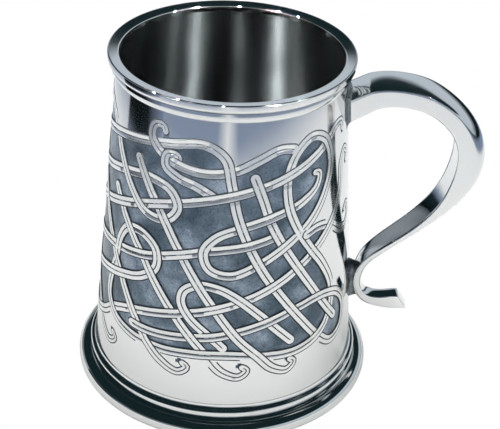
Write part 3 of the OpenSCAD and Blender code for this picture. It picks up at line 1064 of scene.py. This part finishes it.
def stage_material(name, build):
    """A stage surface: white to the lens, and to the metal what build makes from its node tree."""
    material = bpy.data.materials.new(name)
    material.use_nodes = True
    tree = material.node_tree
    tree.nodes.clear()
    lens = add_node(tree, "Emission", {"Color": linear("#FFFFFF"), "Strength": 1.0})
    split_by_lens(tree, build(tree), lens.outputs[0], "OutputMaterial")
    return material


def split_by_lens(tree, for_metal, for_lens, output):
    """Shows the lens one shader and every other ray another."""
    to_lens = add_node(tree, "LightPath").outputs["Is Camera Ray"]
    mixed = add_node(tree, "MixShader", {0: to_lens, 1: for_metal, 2: for_lens})
    tree.links.new(mixed.outputs[0], add_node(tree, output).inputs["Surface"])


def axes(tree, vector):
    """The x, y and z of a vector."""
    return add_node(tree, "SeparateXYZ", {0: vector}).outputs


def table_surface(tree):
    """White paper around the tankard, running into a grey tabletop further out and a dark one far behind."""
    spot = add_node(tree, "TexCoord").outputs["Object"]
    x, y, _ = axes(tree, spot)
    moved = add_node(tree, "VectorMath", {0: spot, 1: (-PAPER_X, 0, 0)}).outputs[0]
    scale = (1 / PAPER[0], 1 / PAPER[1], 0)
    reach = add_node(tree, "VectorMath", {0: moved, 1: scale}, operation="MULTIPLY").outputs[0]
    far = add_node(tree, "VectorMath", {0: reach}, operation="LENGTH").outputs["Value"]
    aside = add_node(tree, "Math", {0: x}, operation="ABSOLUTE").outputs[0]
    beyond = combine(tree, "MULTIPLY", remap(tree, far, *PAPER_EDGE), remap(tree, aside, 0.0, PAPER_STRIP))
    paper = mix(tree, remap(tree, far, 0.1, 0.85), linear("#FCFCFA"), linear("#F4F5F7"))
    shade = mix(tree, beyond, paper, linear("#8E9BB3"))
    shade = mix(tree, remap(tree, y, *TABLE_BACK), shade, linear("#1B2A2F"))
    return add_node(tree, "BsdfDiffuse", {"Color": shade}).outputs[0]


def dark_card(tree):
    """Black card, greyer at its front end and its foot, which the metal mirrors as a dark patch."""
    _, y, z = axes(tree, add_node(tree, "TexCoord").outputs["Object"])
    inked = combine(tree, "MULTIPLY", remap(tree, y, *CARD_FRONT), remap(tree, z, *CARD_FOOT))
    shade = mix(tree, inked, linear("#8A95AD"), linear("#101719"))
    return add_node(tree, "BsdfDiffuse", {"Color": shade}).outputs[0]


def slab(name, outline, heights, material):
    """A stage piece: an outline of (x, y) points raised between two heights."""
    points = [(*spot, z) for z in heights for spot in outline]
    faces = grid_faces(2, len(outline), False, True).tolist() + end_caps(2, len(outline))
    return make_piece(name, points, faces, [stage_material(*material)])


def build_table():
    """A thin round slab whose top is at height 0."""
    angle = np.linspace(0, 2 * math.pi, TABLE_STEPS, endpoint=False)
    rim = [(TABLE_R * math.cos(a), TABLE_R * math.sin(a)) for a in angle]
    return slab("table", rim, (-TABLE_THICK, 0), ("paper_and_table", table_surface))


def build_card():
    """A thin standing card that faces the tankard from its left."""
    x, y = CARD_AT
    half, back = CARD[0] / 2, x - CARD_THICK
    outline = [(x, y - half), (x, y + half), (back, y + half), (back, y - half)]
    return slab("dark_card", outline, (0, CARD[1]), ("card", dark_card))


def add_light(name, place_at, target, width, height, watts):
    """A flat white studio light."""
    data = bpy.data.lights.new(name, "AREA")
    data.shape = "RECTANGLE"
    data.size = width
    data.size_y = height
    data.energy = watts
    light = add_object(name, data)
    light.location = place_at
    light.rotation_euler = (target - Vector(place_at)).to_track_quat("-Z", "Y").to_euler()
    return light


# Height and width of the soft light overhead, and its watts
SOFT_HIGH = 1.2
SOFT_WIDE = 1.0
SOFT_WATTS = 17
# Full angle of each narrow light's beam, in degrees: it reaches the mouth and misses the foot
BEAM = 6
# Length of each narrow light
STRIP_LONG = 0.06
# Narrow lights around the stage: name, bearing to the right of the lens and height above the horizon in
# degrees, width, watts
STRIPS = [
    ("strip_right", 46, 42, 0.035, 0.20),
    ("strip_far_right", 75, 42, 0.008, 0.045),
    ("strip_front", -6, 46, 0.015, 0.035),
    ("strip_left", -52, 42, 0.02, 0.32),
    ("strip_far_left", -80, 42, 0.008, 0.045),
]


def build_lights():
    """A large soft light overhead that the metal does not mirror, and narrow strips that it does."""
    mouth = Vector((0, 0, RIM[1].z))
    soft = add_light("soft_overhead", (0, 0, SOFT_HIGH), Vector(), SOFT_WIDE, SOFT_WIDE, SOFT_WATTS)
    soft.visible_glossy = False
    for name, bearing, rise, width, watts in STRIPS:
        a, e = math.radians(bearing), math.radians(rise)
        way = Vector((math.sin(a) * math.cos(e), -math.cos(a) * math.cos(e), math.sin(e)))
        strip = add_light(name, mouth + way, mouth, width, STRIP_LONG, watts)
        strip.visible_diffuse = False
        strip.data.spread = math.radians(BEAM)


def between(tree, up, foot, top):
    """1 between two heights above the horizon and 0 outside them; each edge is a ramp between two angles."""
    low, high = (
        remap(tree, up, math.sin(math.radians(a)), math.sin(math.radians(b))) for a, b in (foot, top[::-1])
    )
    return combine(tree, "MULTIPLY", low, high)


def build_world():
    """White where the lens looks past the stage; else a dark blue green room with pale walls low down."""
    world = bpy.data.worlds.new("studio")
    bpy.context.scene.world = world
    world.use_nodes = True
    tree = world.node_tree
    tree.nodes.clear()
    way = add_node(tree, "TexCoord").outputs["Generated"]
    up = axes(tree, way)[2]
    turn = math.radians(WALL_END)
    side = (math.cos(turn), math.sin(turn), 0)
    across = add_node(tree, "VectorMath", {0: way, 1: side}, operation="DOT_PRODUCT")
    ended = remap(tree, across.outputs["Value"], *WALL_FADE)
    wall = combine(tree, "MULTIPLY", between(tree, up, WALL_FOOT, WALL_TOP), ended)
    drift = add_node(tree, "TexNoise", {"Vector": way, "Scale": 1.6, "Detail": 1.0}).outputs[0]
    uneven = remap(tree, drift, 0.35, 0.65, 0.25, 0.8)
    band = combine(tree, "MULTIPLY", between(tree, up, BAND_FOOT, BAND_TOP), uneven)
    shade = mix(tree, combine(tree, "MAXIMUM", wall, band), linear("#17272B"), linear("#C4CED8"))
    room = add_node(tree, "Background", {"Color": shade, "Strength": 1.0})
    lens = add_node(tree, "Background", {"Color": linear("#FFFFFF"), "Strength": 1.0})
    split_by_lens(tree, room.outputs[0], lens.outputs[0], "OutputWorld")


# The lens, in millimetres and degrees: its focal length and frame width, its place, and how far it is tipped
# up from straight down, rolled and panned
LENS = 100.88
LENS_FRAME = 36
LENS_AT = (10.80, -412.47, 311.01)
LENS_TILT = 58.47
LENS_ROLL = 2.69
LENS_PAN = 0.389


def build_camera():
    """The lens, a little above the tankard and looking down into its mouth."""
    data = bpy.data.cameras.new("camera")
    data.lens = LENS
    data.sensor_width = LENS_FRAME
    data.clip_start = 0.01
    data.clip_end = 20
    camera = add_object("camera", data)
    tilt = Euler((math.radians(LENS_TILT), 0, 0)).to_matrix()
    roll = Matrix.Rotation(math.radians(LENS_ROLL), 3, "Z")
    pan = Matrix.Rotation(math.radians(LENS_PAN), 3, "Z")
    camera.matrix_world = Matrix.Translation(Vector(LENS_AT) * MM) @ (pan @ tilt @ roll).to_4x4()
    bpy.context.scene.camera = camera


# ---------------------------------------------------------------- operators


class TANKARD_OT_drum(Operator):
    """Build the rolled drum and its soldered seam"""

    bl_idname = "tankard.drum"
    bl_label = "Drum and Seam"

    def execute(self, context):
        sizes = context.scene.tankard_sizes
        place(build_drum(sizes), "polished_pewter", "drum")
        place(build_seam(sizes), "polished_pewter", "side_seam")
        return {"FINISHED"}


class TANKARD_OT_interlace(Operator):
    """Build the strands of the interlace panel"""

    bl_idname = "tankard.interlace"
    bl_label = "Interlace"

    def execute(self, context):
        place(build_interlace(context.scene.tankard_sizes), "polished_pewter")
        return {"FINISHED"}


class TANKARD_OT_mouldings(Operator):
    """Build the turned rim and foot"""

    bl_idname = "tankard.mouldings"
    bl_label = "Rim and Foot"

    def execute(self, context):
        sizes = context.scene.tankard_sizes
        place(build_rim(sizes), "polished_pewter", "rim_moulding")
        place(build_foot(sizes), "polished_pewter", "foot_moulding")
        return {"FINISHED"}


class TANKARD_OT_floor(Operator):
    """Build the floor disc and the solder around it"""

    bl_idname = "tankard.floor"
    bl_label = "Floor"

    def execute(self, context):
        sizes = context.scene.tankard_sizes
        place(build_floor(sizes), "satin_pewter", "floor_disc")
        place(build_floor_solder(sizes), "solder", "floor_solder")
        return {"FINISHED"}


class TANKARD_OT_handle(Operator):
    """Build the cast handle and the solder of its two joints"""

    bl_idname = "tankard.handle"
    bl_label = "Handle and Joints"

    def execute(self, context):
        sizes = context.scene.tankard_sizes
        place(build_handle(sizes), "polished_pewter", "handle")
        place(build_root_solder(sizes), "solder", "upper_joint_solder")
        place(build_pad(sizes), "solder", "lower_joint_pad")
        return {"FINISHED"}


class TANKARD_OT_stage(Operator):
    """Build the table, the lights and the camera"""

    bl_idname = "tankard.stage"
    bl_label = "Stage"

    def execute(self, context):
        context.scene.view_settings.view_transform = "Standard"
        build_table()
        build_card()
        build_lights()
        build_world()
        build_camera()
        return {"FINISHED"}


BUILDERS = [
    TANKARD_OT_drum,
    TANKARD_OT_interlace,
    TANKARD_OT_mouldings,
    TANKARD_OT_floor,
    TANKARD_OT_handle,
    TANKARD_OT_stage,
]


class TANKARD_PT_panel(Panel):
    """Lists the tankard's sizes, colours and pieces"""

    bl_idname = "TANKARD_PT_panel"
    bl_label = "Pewter Tankard"
    bl_space_type = "VIEW_3D"
    bl_region_type = "UI"
    bl_category = "Tankard"

    def draw(self, context):
        layout = self.layout
        for group in (context.scene.tankard_sizes, context.scene.tankard_colours):
            for name in group.bl_rna.properties.keys():
                if name not in ("rna_type", "name"):
                    layout.prop(group, name)
        for builder in BUILDERS:
            layout.operator(builder.bl_idname)


CLASSES = [TankardSizes, TankardColours, *BUILDERS, TANKARD_PT_panel]


def register():
    for made in CLASSES:
        bpy.utils.register_class(made)
    bpy.types.Scene.tankard_sizes = PointerProperty(type=TankardSizes)
    bpy.types.Scene.tankard_colours = PointerProperty(type=TankardColours)


def unregister():
    del bpy.types.Scene.tankard_colours
    del bpy.types.Scene.tankard_sizes
    for made in reversed(CLASSES):
        bpy.utils.unregister_class(made)


def main():
    """Builds every piece in order."""
    register()
    bpy.ops.tankard.drum()
    bpy.ops.tankard.interlace()
    bpy.ops.tankard.mouldings()
    bpy.ops.tankard.floor()
    bpy.ops.tankard.handle()
    bpy.ops.tankard.stage()


if __name__ == "__main__":
    main()
